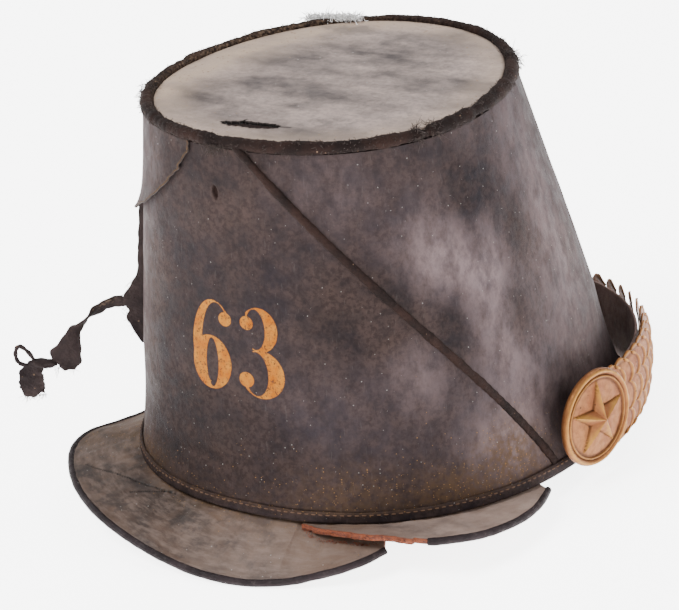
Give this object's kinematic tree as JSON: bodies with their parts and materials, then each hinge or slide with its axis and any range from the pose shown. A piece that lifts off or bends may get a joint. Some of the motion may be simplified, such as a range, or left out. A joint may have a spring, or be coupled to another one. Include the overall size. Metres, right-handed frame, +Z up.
{
  "type": "shako hat",
  "caption": "Tapering shako with a flat sunk top, corded seam, torn leather visor, lobed brass chin scales with star rosettes and a cloth tie.",
  "frame": {"origin": "centre of the bounding box, on the floor", "axes": "+Z up, the visor and the front of the hat towards -Y, the wearer's left towards +X"},
  "size_m": [0.2096, 0.2404, 0.1562],
  "materials": {
    "oilcloth": "worn dull oilcloth, charcoal",
    "top_cloth": "faded oilcloth, grey mauve",
    "brown_cord": "worn wool cord, dark brown",
    "visor_leather": "scuffed, grey brown",
    "edge_leather": "black, satin",
    "strap_leather": "worn, dark grey",
    "brass": "tarnished, satin",
    "tie_cloth": "frayed, near black"
  },
  "bodies": {
    "root": {"crown_wall": "oilcloth", "crown_top": "top_cloth", "top_binding": "brown_cord", "base_hem": "oilcloth", "side_piping_left": "brown_cord", "side_piping_right": "brown_cord", "torn_flap": "oilcloth", "torn_strip": "tie_cloth", "visor_main_part": "visor_leather", "visor_broken_part": "visor_leather", "visor_binding_main": "edge_leather", "visor_binding_broken": "edge_leather", "chin_strap_left": "strap_leather", "chin_strap_right": "strap_leather", "strap_keeper": "strap_leather", "rosette_left": "brass", "rosette_right": "brass", "tie_ribbon": "tie_cloth", "tie_knot": "tie_cloth", "tie_loop": "tie_cloth", "tie_tail": "tie_cloth", "scale_left_01": "brass", "scale_left_02": "brass", "scale_left_03": "brass", "scale_left_04": "brass", "scale_left_05": "brass", "scale_left_06": "brass", "scale_left_07": "brass", "scale_left_08": "brass", "scale_left_09": "brass", "scale_left_10": "brass", "scale_left_11": "brass", "scale_left_12": "brass", "scale_left_13": "brass", "scale_left_14": "brass", "scale_left_15": "brass", "scale_left_16": "brass", "scale_left_17": "brass", "scale_right_01": "brass", "scale_right_02": "brass", "scale_right_03": "brass", "scale_right_04": "brass", "scale_right_05": "brass", "scale_right_06": "brass", "scale_right_07": "brass", "scale_right_08": "brass", "scale_right_09": "brass", "scale_right_10": "brass", "scale_right_11": "brass", "scale_right_12": "brass", "scale_right_13": "brass", "scale_right_14": "brass", "scale_right_15": "brass", "scale_right_16": "brass", "scale_right_17": "brass"}
  },
  "joints": []
}
